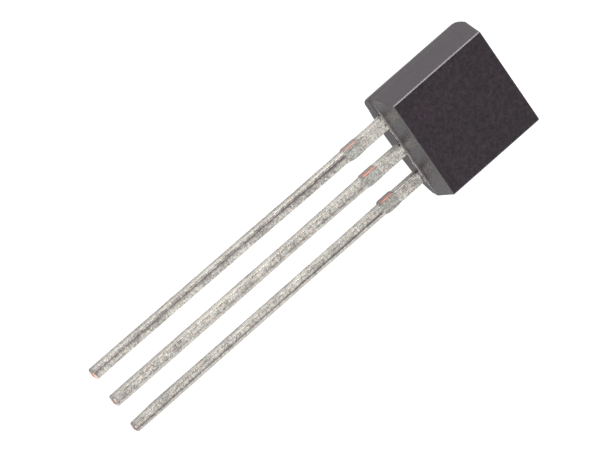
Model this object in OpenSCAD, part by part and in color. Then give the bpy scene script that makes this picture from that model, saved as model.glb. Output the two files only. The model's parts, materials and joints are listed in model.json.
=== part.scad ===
// TO-92 transistor with straight leads, at rest on the lower edge of its round back and on its lead tips.
// The package is drawn upright first: X runs across it, Y from the flat front to the round back, and Z
// from the lead tips to the top end. Y = 0 is the parting plane of the moulding, Z = 0 is the end of the
// body that the leads come out of, and X = 0 is the middle of the centre lead. lying() then lays it down
// with the flat front up, so that +Z is up, the leads point to -X, and the origin is on the floor below
// the middle of the whole part. Sizes are in millimetres and angles in degrees.

/* [Moulded body] */
// Width across the parting plane
body_w = 4.50; // [3.6:0.05:6]
// Height between the lead end and the top end
body_h = 4.57; // [3.7:0.01:6]
// Depth of the flat front half, from its face to the parting plane
front_depth = 1.23; // [1:0.01:1.6]
// Depth of the straight wall between the parting plane and the half-round back
back_straight = 0.12; // [0.05:0.01:0.5]
// Draft of every wall of the front half
front_draft = 7.2; // [2:0.1:10]
// Draft of the two ends of the back half
back_draft = 8; // [2:0.1:10]
// Round on the edges of the flat front
front_edge_r = 0.05; // [0.02:0.01:0.15]
// Round on the two end edges of the back
back_edge_r = 0.08; // [0.02:0.01:0.15]
// Width of the gate mark on the top end
gate_w = 0.90; // [0.4:0.05:1.5]
// Thickness of the gate mark, behind the parting plane
gate_t = 0.28; // [0.15:0.01:0.5]
// How far the gate mark stands out of the top end
gate_proud = 0.05; // [0.02:0.01:0.15]

/* [Leads] */
// Spacing of the leads
lead_pitch = 1.27; // [1.1:0.01:1.55]
// Width of a lead below the dam bar
lead_w = 0.38; // [0.3:0.01:0.46]
// Thickness of the lead frame
lead_t = 0.38; // [0.25:0.01:0.5]
// Length of the centre lead below the body
lead_length = 14.35; // [6:0.05:20]
// How much longer the trimming cut leaves the left lead than the right one
trim_skew = 0.10; // [0:0.01:0.3]
// How far the tip of the left lead is bent outwards
left_splay = 0.06; // [0:0.01:0.3]
// How far the leads lie behind the parting plane
lead_setback = 0.02; // [0:0.01:0.1]
// Width of a lead between the body and the dam bar
neck_w = 0.48; // [0.42:0.01:0.6]
// Length of the neck between the body and the dam bar
neck_length = 1.30; // [0.8:0.05:2]
// Width of a lead across the sheared stubs of the dam bar
stub_w = 0.54; // [0.5:0.01:0.7]
// Height of the dam bar
stub_h = 0.72; // [0.4:0.01:1]

/* [Lead frame inside the body] */
// Gap between the die pad and the posts beside it
frame_gap = 0.25; // [0.2:0.01:0.4]
// Height of the pad's lower edge above the lead end
pad_z = 1.50; // [1.2:0.05:1.8]
// Moulding between the pad and the top end
pad_cover = 0.95; // [0.5:0.05:1.2]
// Chamfer between the neck and the pad
pad_chamfer = 0.25; // [0.1:0.01:0.35]
// Height of a post's head above the lead end
head_z = 1.75; // [1.4:0.05:2]
// Height of a post's head
head_h = 0.85; // [0.5:0.05:1.1]
// How far a post's head reaches outwards past its neck
head_reach = 0.26; // [0.1:0.01:0.4]
// Height of the locking ears above the lead end
ear_z = 0.55; // [0.4:0.05:0.8]
// Height of the locking ears
ear_h = 0.40; // [0.2:0.05:0.6]
// How far the locking ears reach out of the neck
ear_reach = 0.12; // [0.05:0.01:0.15]
// Round on the corners of the pad, the heads and the ears
stamped_r = 0.05; // [0.02:0.01:0.05]

/* [Chip and wires] */
// Side of the square chip
die_w = 0.50; // [0.3:0.01:0.8]
// Thickness of the chip
die_t = 0.20; // [0.1:0.01:0.3]
// Thickness of the bond layer under the chip
attach_t = 0.03; // [0.02:0.01:0.05]
// How far the bond layer shows around the chip
attach_margin = 0.04; // [0.02:0.01:0.1]
// Distance of each wire's ball from the middle of the chip
ball_offset = 0.13; // [0.08:0.01:0.15]
// Diameter of the bond wires
wire_d = 0.05; // [0.03:0.005:0.06]
// Height of a wire's arc over the straight line between its two ends
wire_bow = 0.32; // [0.2:0.01:0.4]
// Diameter of the ball and of the stitch at a wire's two ends
ball_d = 0.11; // [0.09:0.01:0.13]
// Height of the ball
ball_h = 0.04; // [0.03:0.01:0.06]
// Height of the stitch
stitch_h = 0.02; // [0.015:0.005:0.03]

/* [Hidden] */
$fn = 96;

left = -1;
right = 1;

// Body
half_w = body_w / 2;
front_half_w = half_w - front_depth * tan(front_draft);
front_rise = front_depth * tan(front_draft);
back_depth = back_straight + half_w;
back_rise = back_depth * tan(back_draft);

// Lead frame
lead_back = lead_setback + lead_t;
stub_top = -neck_length;
stub_bottom = stub_top - stub_h;
longest_lead = lead_length + trim_skew / 2;
pad_half_w = lead_pitch - neck_w / 2 - frame_gap;
pad_top = body_h - pad_cover;
pad_middle_z = (pad_z + pad_chamfer + pad_top) / 2;

// Chip and wires
die_face = attach_t + die_t;
stitch_x = lead_pitch + head_reach / 2;
stitch_z = head_z + head_h / 2;

// Resting pose. The floor passes through the back edge of the longest tip and touches the round on the
// lower edge of the back, whose middle is back_edge_r away from both surfaces that it joins.
edge_y = back_depth - back_edge_r;
edge_z = (edge_y * sin(back_draft) + back_edge_r) / cos(back_draft);
reach_y = edge_y - lead_back;
reach_z = edge_z + longest_lead;
tilt = atan2(reach_y, reach_z) + asin(back_edge_r / norm([reach_y, reach_z]));

// Where a point of the upright package comes to lie, before it is centred over the origin
function lying_x(y, z) = z * cos(tilt) + y * sin(tilt);
function lying_z(y, z) = z * sin(tilt) - y * cos(tilt);

tip_x = lying_x(lead_setback, -longest_lead);
top_x = lying_x(gate_t, body_h + gate_proud);
floor_z = lying_z(lead_back, -longest_lead);

module lying() {
    translate([-(tip_x + top_x) / 2, 0, -floor_z])
        rotate([0, -tilt, 0])
            rotate([-90, 0, -90])
                children();
}

function unit(v) = v / norm(v);

// Ends of the round on corner i of a closed outline, or the corner itself where its radius is zero
function corner(points, radii, i) =
    let (
        n = len(points),
        v = points[i],
        a = unit(points[(i + n - 1) % n] - v),
        b = unit(points[(i + 1) % n] - v),
        run = radii[i] / tan(acos(a * b) / 2)
    )
    radii[i] == 0 ? [v] : [v + a * run, v + b * run];

// Middle of the round on corner i
function corner_middle(points, radii, i) =
    let (
        n = len(points),
        v = points[i],
        a = unit(points[(i + n - 1) % n] - v),
        b = unit(points[(i + 1) % n] - v)
    )
    v + unit(a + b) * radii[i] / sin(acos(a * b) / 2);

// A closed outline whose outer corners are rounded by true arcs
module rounded(points, radii) {
    corners = [for (i = [0:len(points) - 1]) each corner(points, radii, i)];
    polygon(corners);
    for (i = [0:len(points) - 1])
        if (radii[i] > 0)
            translate(corner_middle(points, radii, i)) circle(radii[i]);
}

// Outline of the body seen from its end: a drafted front and a half-round back
module plan_outline() {
    rounded(
        [
            [-front_half_w, -front_depth], [front_half_w, -front_depth],
            [half_w, 0], [half_w, back_straight],
            [-half_w, back_straight], [-half_w, 0]
        ],
        [front_edge_r, front_edge_r, 0, 0, 0, 0]
    );
    translate([0, back_straight])
        intersection() {
            circle(half_w);
            translate([-half_w, 0]) square([body_w, half_w]);
        }
}

// Outline of the body seen from its side: both ends slope away from the parting plane
module side_outline() {
    rounded(
        [
            [-front_depth, front_rise], [0, 0], [back_depth, back_rise],
            [back_depth, body_h - back_rise], [0, body_h], [-front_depth, body_h - front_rise]
        ],
        [front_edge_r, 0, back_edge_r, back_edge_r, 0, front_edge_r]
    );
}

// The broken-off gate where the compound entered, on the top end just behind the parting plane
module gate_mark() {
    translate([-gate_w / 2, 0, pad_top])
        cube([gate_w, gate_t, body_h + gate_proud - pad_top]);
}

module moulding() {
    intersection() {
        linear_extrude(body_h) plan_outline();
        rotate([90, 0, 90])
            linear_extrude(body_w, center = true) side_outline();
    }
    gate_mark();
}

// A flat piece of the lead frame, from its outline in X and Z
module stamped(points, radii) {
    translate([0, lead_back, 0])
        rotate([90, 0, 0])
            linear_extrude(lead_t) rounded(points, radii);
}

// Children are drawn for the right-hand side of the package, and mirrored for the left
module on_side(side) {
    if (side == left)
        mirror([1, 0, 0]) children();
    else
        children();
}

// One edge of a lead from its tip to the top of its neck: side is 1 for the +X edge and -1 for the other
function lead_edge(side, splay, tip_z, top_z) = [
    [side * lead_w / 2 + splay, tip_z],
    [side * lead_w / 2, stub_bottom],
    [side * stub_w / 2, stub_bottom],
    [side * stub_w / 2, stub_top],
    [side * neck_w / 2, stub_top],
    [side * neck_w / 2, ear_z],
    [side * (neck_w / 2 + ear_reach), ear_z],
    [side * (neck_w / 2 + ear_reach), ear_z + ear_h],
    [side * neck_w / 2, ear_z + ear_h],
    [side * neck_w / 2, top_z]
];
edge_radii = [0, 0, 0, 0, 0, 0, stamped_r, stamped_r, 0, 0];

function reversed(list) = [for (i = [len(list) - 1:-1:0]) list[i]];

// Outline of the centre lead above its neck, which carries the chip
pad_outline = [
    [pad_half_w, pad_z + pad_chamfer], [pad_half_w, pad_top],
    [-pad_half_w, pad_top], [-pad_half_w, pad_z + pad_chamfer]
];
pad_radii = [stamped_r, stamped_r, stamped_r, stamped_r];

// Outline of the right lead above its neck, with its head to the outer side
head_outline = [
    [neck_w / 2 + head_reach, head_z + head_reach],
    [neck_w / 2 + head_reach, head_z + head_h],
    [-neck_w / 2, head_z + head_h]
];
head_radii = [stamped_r, stamped_r, stamped_r];

module outer_lead_shape(side) {
    splay = side == left ? left_splay : 0;
    tip_z = -lead_length + side * trim_skew / 2;
    on_side(side)
        translate([lead_pitch, 0, 0])
            stamped(
                concat(
                    lead_edge(1, splay, tip_z, head_z),
                    head_outline,
                    reversed(lead_edge(-1, splay, tip_z, head_z))
                ),
                concat(edge_radii, head_radii, reversed(edge_radii))
            );
}

module centre_lead_shape() {
    stamped(
        concat(
            lead_edge(1, 0, -lead_length, pad_z),
            pad_outline,
            reversed(lead_edge(-1, 0, -lead_length, pad_z))
        ),
        concat(edge_radii, pad_radii, reversed(edge_radii))
    );
}

// A square plate on the pad's front face, between two heights above it
module plate_on_pad(width, low, high) {
    translate([-width / 2, lead_setback - high, pad_middle_z - width / 2])
        cube([width, high - low, width]);
}

module die_shape() {
    plate_on_pad(die_w, attach_t, die_face);
}

module die_attach_shape() {
    plate_on_pad(die_w + 2 * attach_margin, 0, attach_t);
}

// A bond wire in its own plane: X runs from the ball to the stitch, and Z is the height above the frame.
// The wire is one arc, whose middle lies below the straight line from the ball's top to the stitch's top.
module wire_loop(span) {
    ball_top = die_face + ball_h;
    drop = ball_top - stitch_h;
    chord = norm([span, drop]);
    lean = atan2(drop, span);
    arc_r = (chord * chord / 4 + wire_bow * wire_bow) / (2 * wire_bow);
    half_turn = asin(chord / 2 / arc_r);
    below = arc_r - wire_bow;
    translate([0, 0, die_face]) cylinder(d = ball_d, h = ball_h);
    translate([span / 2 - below * sin(lean), 0, ball_top - drop / 2 - below * cos(lean)])
        rotate([90, 0, 0])
            rotate([0, 0, 90 - lean - half_turn])
                rotate_extrude(angle = 2 * half_turn)
                    translate([arc_r, 0]) circle(d = wire_d);
    translate([span, 0, 0]) cylinder(d = ball_d, h = stitch_h);
}

module wire_shape(side) {
    run_x = stitch_x - ball_offset;
    run_z = stitch_z - pad_middle_z;
    on_side(side)
        translate([ball_offset, lead_setback, pad_middle_z])
            rotate([0, -atan2(run_z, run_x), 0])
                rotate([90, 0, 0])
                    wire_loop(norm([run_x, run_z]));
}

module moulded_body() {
    color("#3a373b")
        lying()
            difference() {
                moulding();
                outer_lead_shape(left);
                centre_lead_shape();
                outer_lead_shape(right);
                die_attach_shape();
                die_shape();
                wire_shape(left);
                wire_shape(right);
            }
}

module left_lead() {
    color("#c9c7c1") lying() outer_lead_shape(left);
}

module centre_lead() {
    color("#c9c7c1") lying() centre_lead_shape();
}

module right_lead() {
    color("#c9c7c1") lying() outer_lead_shape(right);
}

module die() {
    color("#50585f") lying() die_shape();
}

module die_attach() {
    color("#a9a79f") lying() die_attach_shape();
}

module left_wire() {
    color("#d9b24a") lying() wire_shape(left);
}

module right_wire() {
    color("#d9b24a") lying() wire_shape(right);
}

moulded_body();
left_lead();
centre_lead();
right_lead();
die();
die_attach();
left_wire();
right_wire();
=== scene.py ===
"""Looks of a TO-92 transistor: its moulded body, its tinned leads, its chip and bond wires, on a pale floor.

Shapes are worked out in the package's own frame, in millimetres: X runs across the package, Y from the
flat front to the round back, and Z from the lead tips to the top end. Y = 0 is the parting plane of the
moulding, Z = 0 the end of the body that the leads come out of, and X = 0 the middle of the centre lead.
"""

import json
import math

import bmesh
import bpy
import numpy as np
from bpy.props import FloatProperty, FloatVectorProperty, PointerProperty
from mathutils import Matrix, Vector


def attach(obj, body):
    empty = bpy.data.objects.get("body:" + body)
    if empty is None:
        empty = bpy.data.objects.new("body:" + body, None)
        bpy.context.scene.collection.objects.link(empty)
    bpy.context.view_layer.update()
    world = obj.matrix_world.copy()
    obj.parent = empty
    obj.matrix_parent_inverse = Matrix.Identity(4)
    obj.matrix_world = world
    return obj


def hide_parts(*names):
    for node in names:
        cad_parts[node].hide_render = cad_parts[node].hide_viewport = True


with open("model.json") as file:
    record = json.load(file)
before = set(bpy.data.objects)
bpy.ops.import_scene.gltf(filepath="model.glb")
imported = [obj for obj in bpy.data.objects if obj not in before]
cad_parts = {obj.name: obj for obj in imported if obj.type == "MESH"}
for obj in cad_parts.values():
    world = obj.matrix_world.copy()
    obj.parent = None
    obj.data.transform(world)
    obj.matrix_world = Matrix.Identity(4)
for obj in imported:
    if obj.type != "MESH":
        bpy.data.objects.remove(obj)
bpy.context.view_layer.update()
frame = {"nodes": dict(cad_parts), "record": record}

bl_info = {
    "name": "TO-92 Transistor",
    "version": (1, 0, 0),
    "blender": (4, 5, 0),
    "location": "View3D > Sidebar > Transistor",
    "description": "Builds the moulded body, the leads and the inside of a TO-92 transistor",
    "category": "Object",
}

MM = 0.001
LEAD_MIDDLE = 0.21  # millimetres from the parting plane to the middle of the leads' thickness


# Where the package lies


def package_matrix():
    """Package frame in millimetres to the shared frame in metres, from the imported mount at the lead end."""
    mount = next(m for m in frame["record"]["mounts"] if m["name"] == "board_leads")
    up = -Vector(mount["axis"]).normalized()
    across = Vector((0, -1, 0))
    depth = up.cross(across)
    origin = Vector(mount["pos_m"]) - depth * LEAD_MIDDLE * MM
    turn = Matrix((across, depth, up)).transposed()
    return Matrix.Translation(origin) @ turn.to_4x4() @ Matrix.Scale(MM, 4)


PACKAGE = package_matrix()


def lay(points):
    """Package points in millimetres to points of the shared frame in metres."""
    turn = np.array(PACKAGE.to_3x3())
    return points @ turn.T + np.array(PACKAGE.translation)


# Settings


def number(name, description, default, **kind):
    """A setting of one number, in millimetres if it is a size and its unit says nothing else."""
    return FloatProperty(name=name, description=description, default=default, **kind)


def angle(name, description, degrees):
    """A setting of one angle, whose default is given in degrees."""
    return number(name, description, math.radians(degrees), subtype="ANGLE")


def distance(name, description, default):
    """A setting of one length in metres."""
    return number(name, description, default, subtype="DISTANCE", unit="LENGTH")


def colour(name, description, default):
    """A setting of one colour, as linear red, green and blue."""
    return FloatVectorProperty(
        name=name, description=description, default=default, subtype="COLOR", min=0, max=1
    )


class TransistorBody(bpy.types.PropertyGroup):
    """Sizes of the moulding in millimetres, and its colours."""

    width: number("Width", "Width across the parting plane", 4.50, min=3.6, max=6)
    height: number("Height", "From the lead end to the top end", 4.57, min=3.7, max=6)
    front_depth: number("Front Depth", "From the flat face to the parting plane", 1.23)
    back_straight: number("Straight Wall", "Wall behind the parting plane, before the half round", 0.12)
    front_draft: angle("Front Draft", "Draft of every wall of the front half", 7.2)
    back_draft: angle("Back Draft", "Draft of the two ends of the back half", 8.0)
    front_edge: number("Front Edge", "Width of the softened edges of the flat front", 0.068)
    front_spare: number("Front Spare", "How much less each side narrows than its draft says", 0.018)
    front_shift: number("Front Shift", "How far the flat front lies to the right", 0.010)
    front_sunk: number("Front Sunk", "How much shallower the front half is, as room for its grain", 0.0055)
    side_edge: number("Side Edge Round", "Round between the walls and the ends", 0.05)
    left_corner: number("Left Corner", "How much softer the left corner at the lead end is", 0.055)
    right_corner: number("Right Corner", "How much softer the right corner at the lead end is", -0.02)
    shoulder: number("Shoulder", "How much larger the round back's radius across is at 45 degrees", 0.03)
    swell: number("Swell", "How far the two ends stand proud of their drafted planes", 0.03)
    flash: number("Flash", "Height of the flash fin across the lead end", 0.072)
    side_flash: number("Side Flash", "Height of the parting line on the walls", 0.0025)
    side_line: number("Side Line", "How far the line on the walls lies behind the parting plane", 0.09)
    gate_width: number("Gate Width", "Width of the broken-off gate", 0.90)
    gate_thickness: number("Gate Thickness", "Thickness of the broken-off gate", 0.28)
    gate_proud: number("Gate Height", "How far the gate stands out of the top end", 0.05)
    compound: colour("Compound", "Colour of the moulding compound", (0.0060, 0.0021, 0.0050))
    # The flash resin colour is also used for the painted highlights on the edges, the painted light at the
    # fin's foot and the painted sheen on the lead end
    resin_and_sheen: colour("Flash Resin", "Colour of the thin resin along the parting line", (0.50, 0.45, 0.44))
    gloss: number("Roughness", "Roughness of the moulded faces", 0.36, min=0, max=1)


class TransistorLeads(bpy.types.PropertyGroup):
    """Sizes of the lead frame in millimetres, and its colours."""

    pitch: number("Pitch", "Spacing of the leads", 1.27)
    thickness: number("Thickness", "Thickness of the lead frame", 0.38)
    length: number("Length", "Length of the centre lead", 14.35)
    trim_skew: number("Trim Skew", "How much longer the cut leaves the left lead", 0.10)
    splay: number("Splay", "How far the left lead's tip is bent outwards", 0.06)
    setback: number("Setback", "How far the leads lie behind the parting plane", 0.02)
    neck_width: number("Neck Width", "Width between the body and the dam bar", 0.48)
    neck_length: number("Neck Length", "Length between the body and the dam bar", 1.30)
    stub_height: number("Stub Height", "Height of the dam bar", 0.72)
    edge: number("Edge Round", "Round on the stamped edges", 0.032)
    tip_round: number("Tip Round", "Round that the trimmed tip turns into the sides with", 0.07)
    tin: colour("Tin", "Colour of the matte tin plating", (0.563, 0.544, 0.499))
    # Tarnish and Grime also colour the painted shade along the lead fronts' creases and left edges
    tarnish_and_shade: colour("Tarnish", "Colour of the dull specks and lines in the plating", (0.198, 0.181, 0.172))
    grime_and_shade: colour("Grime", "Colour of the darkest specks", (0.085, 0.070, 0.072))
    copper: colour("Copper", "Colour of the bare copper on sheared faces", (0.50, 0.225, 0.165))
    # Colour of the dark, non-metal marks on the lead roots
    root_dark_colour: colour("Bled Resin", "Colour of the resin that bled onto the roots", (0.012, 0.010, 0.012))


class TransistorInside(bpy.types.PropertyGroup):
    """Colours of the chip, its bond layer and its wires."""

    silicon: colour("Silicon", "Colour of the polished chip", (0.10, 0.11, 0.13))
    pads: colour("Bond Pads", "Colour of the aluminium bond pads", (0.75, 0.76, 0.78))
    silver: colour("Bond Layer", "Colour of the silver-filled layer", (0.45, 0.44, 0.40))
    gold: colour("Gold", "Colour of the bond wires", (0.90, 0.62, 0.22))


class TransistorStage(bpy.types.PropertyGroup):
    """Floor, light and camera."""

    floor_colour: colour("Floor", "Colour of the floor", (0.15, 0.15, 0.149))
    floor_glow: number("Floor Glow", "Light that comes through the floor", 0.92)
    floor_radius: distance("Floor Radius", "Radius of the floor", 0.7)
    sky: number("Tent", "Brightness of the white tent", 0.92)
    key: number("Key Light", "Power of the soft key light", 1.08, unit="POWER")
    fill: number("Fill", "Power of the soft box off the lead end", 0.78, unit="POWER")
    light_distance: distance("Light Distance", "From the soft boxes to the aim point", 0.25)
    azimuth: angle("Azimuth", "Direction the camera looks from, round the part", -136.3622)
    elevation: angle("Elevation", "Height of the camera over the floor", 57.9299)
    roll: angle("Roll", "Turn of the camera about its own axis", 96.6051)
    camera_distance: distance("Camera Distance", "From the camera to the aim point", 0.289689)
    aim: FloatVectorProperty(
        name="Aim",
        description="Point that the camera aims at",
        subtype="XYZ",
        unit="LENGTH",
        default=(-0.000102676, 0.000536881, 0.001758647),
    )
    lens: number("Lens", "Focal length on a 36 mm sensor", 481.249, unit="CAMERA")


# Numbers and surfaces


def step(x, low, high):
    """Zero below low, one above high, and a smooth cubic between them."""
    t = np.clip((x - low) / (high - low), 0, 1)
    return t * t * (3 - 2 * t)


def bump(x, low, high, soft):
    """One between low and high, falling smoothly to zero over soft on either side."""
    return step(x, low - soft, low) * (1 - step(x, high, high + soft))


def ripple(points, wavelength, seed, waves=28):
    """Smooth noise of about -1 to 1: a sum of sine waves whose directions, lengths and phases are random."""
    rng = np.random.default_rng(seed)
    ways = rng.normal(size=(waves, 3))
    ways /= np.linalg.norm(ways, axis=1, keepdims=True)
    ways *= rng.uniform(0.6, 1.6, (waves, 1)) * 2 * math.pi / wavelength
    phases = rng.uniform(0, 2 * math.pi, waves)
    return np.sin(points @ ways.T + phases).sum(-1) / math.sqrt(2 * waves)


def turned(a, b, share):
    """Unit vectors on the great circle from a to b, at the given share of the way."""
    angle = np.arccos(np.clip((a * b).sum(-1, keepdims=True), -1, 1))
    sine = np.maximum(np.sin(angle), 1e-9)
    mix = (np.sin((1 - share) * angle) * a + np.sin(share * angle) * b) / sine
    return np.where(angle < 1e-6, a, mix)


def spread(*runs):
    """Sorted stations from runs of (start, end, spacing), each run evenly spaced."""
    parts = [np.linspace(a, b, max(2, round(abs(b - a) / gap) + 1)) for a, b, gap in runs]
    return np.unique(np.concatenate(parts).round(6))


def moved(points, axis, by):
    """A copy of the points, moved along one axis."""
    points = points.copy()
    points[..., axis] += by
    return points


def quads(rows, columns):
    """Faces of a grid, each from four neighbouring points, which are numbered row by row."""
    index = np.arange(rows * columns).reshape(rows, columns)
    return np.stack([index[:-1, :-1], index[:-1, 1:], index[1:, 1:], index[1:, :-1]], -1).reshape(-1, 4)


def placed(name, points, faces):
    """A new mesh object in the scene, from points in metres and the faces between them."""
    mesh = bpy.data.meshes.new(name)
    mesh.from_pydata(points, [], faces.tolist())
    piece = bpy.data.objects.new(name, mesh)
    bpy.context.scene.collection.objects.link(piece)
    return piece


def skin(name, grid, u=None, v=None, masks=None, sharp=math.radians(38)):
    """A mesh object over a grid of package points whose last column repeats its first.

    Each four neighbouring grid points make a face. Coincident points are then welded, which closes the
    seam and the two poles, and the faces are turned outwards. u and v give each grid point its place on
    the UV map "surface", which may jump at the seam. Each of the masks becomes a point attribute.
    """
    faces = quads(*grid.shape[:2])
    points = lay(grid.reshape(-1, 3))
    a, b, c, d = (points[faces[:, i]] for i in range(4))
    volume = (a * (np.cross(b, c) + np.cross(c, d))).sum()
    if volume < 0:
        faces = faces[:, ::-1]
    piece = placed(name, points, faces)
    mesh = piece.data
    if u is not None:
        places = np.stack([u, v], -1).reshape(-1, 2)[faces.ravel()]
        mesh.uv_layers.new(name="surface").data.foreach_set("uv", places.astype(np.float32).ravel())
    for mask, values in (masks or {}).items():
        layer = mesh.attributes.new(mask, "FLOAT", "POINT")
        layer.data.foreach_set("value", values.astype(np.float32).ravel())
    bm = bmesh.new()
    bm.from_mesh(mesh)
    bmesh.ops.remove_doubles(bm, verts=bm.verts, dist=0.00005 * MM)
    bm.to_mesh(mesh)
    bm.free()
    mesh.validate()
    mesh.shade_smooth()
    mesh.set_sharp_from_angle(angle=sharp)
    return piece


# Finishes


class Outlet:
    """A node's output. Arithmetic on it adds the Math nodes that the expression stands for."""

    def __init__(self, wiring, socket):
        self.wiring = wiring
        self.socket = socket

    def __add__(self, other):
        return self.wiring.math("ADD", self, other)

    def __sub__(self, other):
        return self.wiring.math("SUBTRACT", self, other)

    def __rsub__(self, other):
        return self.wiring.math("SUBTRACT", other, self)

    def __mul__(self, other):
        return self.wiring.math("MULTIPLY", self, other)

    def __truediv__(self, other):
        return self.wiring.math("DIVIDE", self, other)

    def __abs__(self):
        return self.wiring.math("ABSOLUTE", self)

    __radd__ = __add__
    __rmul__ = __mul__


class Wiring:
    """A node tree that expressions are written into."""

    def __init__(self, tree):
        self.tree = tree

    def node(self, kind, settings=None, inputs=None, output=0):
        """Adds a node, sets its settings, then its inputs from values or outlets, and returns one outlet."""
        node = self.tree.nodes.new(kind)
        for name, value in (settings or {}).items():
            setattr(node, name, value)
        for name, value in (inputs or {}).items():
            if isinstance(value, Outlet):
                self.tree.links.new(value.socket, node.inputs[name])
            else:
                node.inputs[name].default_value = value
        return Outlet(self, node.outputs[output])

    def math(self, operation, *values):
        """The outcome of a Math node on one or two numbers."""
        return self.node("ShaderNodeMath", {"operation": operation}, dict(enumerate(values)))

    def axes(self, vector):
        """The three numbers of a vector."""
        parts = self.node("ShaderNodeSeparateXYZ", inputs={0: vector})
        return [Outlet(self, output) for output in parts.socket.node.outputs]

    def step(self, value, low, high):
        """Zero below low, one above high, and smooth between them."""
        inputs = {"Value": value, "From Min": low, "From Max": high}
        return self.node("ShaderNodeMapRange", {"interpolation_type": "SMOOTHSTEP"}, inputs)

    def band(self, value, low, high, soft):
        """One between low and high, falling smoothly to zero over soft on either side."""
        return self.step(value, low - soft, low) * (1 - self.step(value, high, high + soft))


class Finish(Wiring):
    """A procedural material. Its patterns are laid out in package millimetres."""

    def __init__(self, name, **constants):
        self.material = bpy.data.materials.new(name)
        self.material.use_nodes = True
        super().__init__(self.material.node_tree)
        self.shader = self.tree.nodes["Principled BSDF"]
        for socket, value in constants.items():
            self.shader.inputs[socket.replace("_", " ")].default_value = value
        to_package = PACKAGE.inverted()
        self.place = self.node(
            "ShaderNodeMapping",
            {"vector_type": "POINT"},
            {
                "Vector": self.node("ShaderNodeTexCoord", output="Object"),
                "Location": to_package.translation,
                "Rotation": to_package.to_3x3().normalized().to_euler(),
                "Scale": (1 / MM, 1 / MM, 1 / MM),
            },
        )

    def feed(self, socket, outlet):
        """Links an outlet to a socket of the shader."""
        self.tree.links.new(outlet.socket, self.shader.inputs[socket])

    def mask(self, name):
        """A number that the mesh keeps at each point."""
        return self.node("ShaderNodeAttribute", {"attribute_name": name}, output=2)

    def noise(self, size, detail=2.0, harshness=0.5, vector=None):
        """Noise of about 0 to 1 with grains of the given size in millimetres."""
        inputs = {"Vector": vector or self.place, "Scale": 1 / size, "Detail": detail, "Roughness": harshness}
        return self.node("ShaderNodeTexNoise", {"noise_dimensions": "3D"}, inputs)

    def drawn_out(self, factor):
        """The place in the package, drawn out along the leads."""
        return self.node(
            "ShaderNodeVectorMath", {"operation": "MULTIPLY"}, {0: self.place, 1: (1, 1, 1 / factor)}
        )

    def mix(self, share, first, second):
        """Colour that goes from first to second."""
        inputs = {0: share, 6: self.opaque(first), 7: self.opaque(second)}
        return self.node("ShaderNodeMix", {"data_type": "RGBA", "clamp_factor": True}, inputs, output=2)

    def shade(self, colour, value):
        """A colour made darker or lighter by a number."""
        return self.node("ShaderNodeVectorMath", {"operation": "SCALE"}, {0: colour, "Scale": value})

    def relief(self, height, depth):
        """Bump that feeds the shader's normal: depth is the height of a full step, in millimetres."""
        inputs = {"Height": height, "Distance": depth * MM, "Strength": 1.0}
        self.feed("Normal", self.node("ShaderNodeBump", inputs=inputs))

    @staticmethod
    def opaque(value):
        """A colour with its alpha, or an outlet as it is."""
        return value if isinstance(value, Outlet) else (*value[:3], 1.0)


def tinted(colour, gains):
    """A colour whose red, green and blue are each multiplied by a gain."""
    return tuple(part * gain for part, gain in zip(colour, gains))


def dress(piece, finish, node):
    """Gives a piece its material, hides the imported part that it stands for, and puts it under the root
    body.
    """
    piece.data.materials.clear()
    piece.data.materials.append(finish.material)
    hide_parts(node)
    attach(piece, "root")


# Moulded body


EDGE_TURN = np.linspace(0, 1, 9)[1:-1]  # stations of a quarter round, between its two faces
WALL_RISE = spread((0, 1, 0.03), (0, 0.012, 0.006), (0.988, 1, 0.006))  # stations from end to end


def half_rings(wall, corners, ends, radii, stations):
    """Right half of each section of the body, from the middle of the lead end to the middle of the top end.

    A section is a straight line across the lead end, a quarter round, a straight wall, a quarter round and
    a straight line across the top end. A quarter round turns from one face's normal to the next about a
    centre that lies one radius inside both faces: the corner less radius * (sum of the normals) /
    (1 + their product). corners, ends, radii and stations each hold a pair, for the lead end and for the
    top end: corner points, normals, radii of the rounds, and shares of the way across. Returns points and
    normals of shape (sections, points, 3).
    """

    def end_run(corner, end, radius, across):
        centre = corner - radius * (wall + end) / (1 + (wall * end).sum(-1, keepdims=True))
        line = np.repeat((centre + radius * end)[:, None], len(across), 1)
        line[..., 0] *= across
        fan = turned(end[:, None], wall[:, None], EDGE_TURN[:, None])
        points = np.concatenate([line, centre[:, None] + radius[:, None] * fan], 1)
        normals = np.concatenate([np.repeat(end[:, None], len(across), 1), fan], 1)
        return points, normals, (centre + radius * wall)[:, None]

    lower, upper = (end_run(*run) for run in zip(corners, ends, radii, stations))
    rise = lower[2] + (upper[2] - lower[2]) * WALL_RISE[:, None]
    points = np.concatenate([lower[0], rise, upper[0][:, ::-1]], 1)
    wall_normals = np.repeat(wall[:, None], len(WALL_RISE), 1)
    return points, np.concatenate([lower[1], wall_normals, upper[1][:, ::-1]], 1)


def joined(right, left):
    """A whole ring from two right halves, the second one mirrored. The last point repeats the first."""
    other = left[:, ::-1] * np.array([-1.0, 1, 1])
    return np.concatenate([right, other[:, 1:]], 1)


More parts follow.
